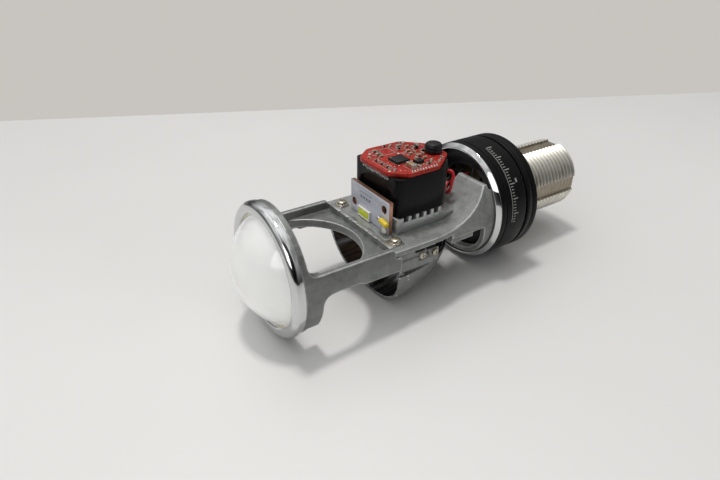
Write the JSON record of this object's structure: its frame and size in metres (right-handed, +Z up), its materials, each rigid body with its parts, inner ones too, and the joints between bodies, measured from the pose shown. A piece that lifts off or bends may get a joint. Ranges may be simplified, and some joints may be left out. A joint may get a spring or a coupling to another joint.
{
  "type": "mini projector lens module",
  "caption": "Projector lens module: domed lens on an open cast frame, LED and driver boards on a base plate, half-bowl reflector, collar with fan, lock ring and threaded tail.",
  "frame": {"origin": "under the middle of the module's length, in its middle plane, level with the bezel's lowest point", "axes": "+X along the optical axis from the lens to the tail, +Z up from the base plate towards the driver board, +Y across"},
  "size_m": [0.15, 0.048, 0.0555],
  "materials": {
    "chrome_ring": "polished chrome plate",
    "lens_glass": "clear polished glass that reads milky white",
    "gasket": "cream silicone",
    "die_casting": "matte mottled die casting",
    "bowl_casting": "matte casting outside, dark mirror inside",
    "sheet_steel": "plain sheet and turned steel",
    "nickel_fasteners": "warm nickel plate",
    "fins": "light satin aluminium",
    "black_case": "satin black moulding",
    "red_board": "red solder mask with white print and tinned pads",
    "black_chips": "moulded black packages",
    "tan_parts": "tan ceramic with tinned ends",
    "clear_glue": "translucent adhesive",
    "red_wire": "soft red insulation",
    "black_wire": "soft black insulation",
    "white_board": "pale mask on a copper core",
    "led_ceramic": "white ceramic and pale solder",
    "led_phosphor": "yellow green phosphor",
    "yellow_sleeve": "glossy yellow sleeve",
    "black_anodised": "satin black anodised",
    "tail_metal": "machined, brown in the thread roots",
    "fan_plastic": "matte black moulding",
    "bearing_bronze": "sintered bronze"
  },
  "bodies": {
    "module": {"bezel_ring": "chrome_ring", "lens": "lens_glass", "lens_gasket": "gasket", "front_frame": "die_casting", "cutoff_shield": "sheet_steel", "base_casting": "die_casting", "reflector_bowl": "bowl_casting", "plate_washer_near": "nickel_fasteners", "plate_screw_near": "nickel_fasteners", "plate_washer_far": "nickel_fasteners", "plate_screw_far": "nickel_fasteners", "bowl_screw_near_front": "nickel_fasteners", "bowl_screw_near_rear": "nickel_fasteners", "bowl_screw_far_front": "nickel_fasteners", "bowl_screw_far_rear": "nickel_fasteners", "heat_sink": "fins", "driver_housing": "black_case", "driver_potting": "black_case", "driver_board": "red_board", "driver_chip": "black_chips", "driver_regulator": "black_chips", "schottky_diode": "black_chips", "driver_inductor": "black_chips", "bulk_capacitor": "tan_parts", "chip_resistor_1": "tan_parts", "chip_resistor_2": "tan_parts", "chip_resistor_3": "tan_parts", "chip_capacitor_1": "tan_parts", "chip_capacitor_2": "tan_parts", "chip_capacitor_3": "tan_parts", "chip_capacitor_4": "tan_parts", "chip_capacitor_5": "tan_parts", "glue_bead": "clear_glue", "red_wire": "red_wire", "black_wire": "black_wire", "led_board": "white_board", "high_beam_led_frame": "led_ceramic", "high_beam_led_phosphor": "led_phosphor", "thermistor": "yellow_sleeve", "thermistor_end": "sheet_steel", "thermistor_solder": "led_ceramic", "lower_led_board": "white_board", "low_beam_led_frame": "led_ceramic", "low_beam_led_phosphor": "led_phosphor"},
    "tail_unit": {"collar": "black_anodised", "collar_rim": "chrome_ring", "set_screw_1": "sheet_steel", "set_screw_2": "sheet_steel", "tail_tube": "tail_metal", "fan_frame": "fan_plastic", "fan_bearing": "bearing_bronze", "power_socket": "fan_plastic"},
    "key_washer": {"keyed_washer": "sheet_steel"},
    "lock_ring": {"lock_ring": "black_anodised"},
    "fan": {"fan_rotor": "fan_plastic", "fan_shaft": "sheet_steel"}
  },
  "joints": [
    {"name": "module_turn", "type": "hinge", "parent": "tail_unit", "child": "module", "pos_m": [0.0224, 0, 0.027], "axis": [1, 0, 0], "range_deg": [-20, 20]},
    {"name": "washer_slide", "type": "slide", "parent": "tail_unit", "child": "key_washer", "axis": [1, 0, 0], "range_m": [0, 0.0301]},
    {"name": "lock_ring_turn", "type": "hinge", "parent": "key_washer", "child": "lock_ring", "pos_m": [0.0381, 0, 0.027], "axis": [1, 0, 0], "range_deg": [0, 5400]},
    {"name": "fan_spin", "type": "hinge", "parent": "tail_unit", "child": "fan", "pos_m": [0.0274, 0, 0.027], "axis": [1, 0, 0], "continuous": true}
  ],
  "couplings": [
    {"joint": "washer_slide", "follows": "lock_ring_turn", "m_per_rad": 0.00031831}
  ]
}
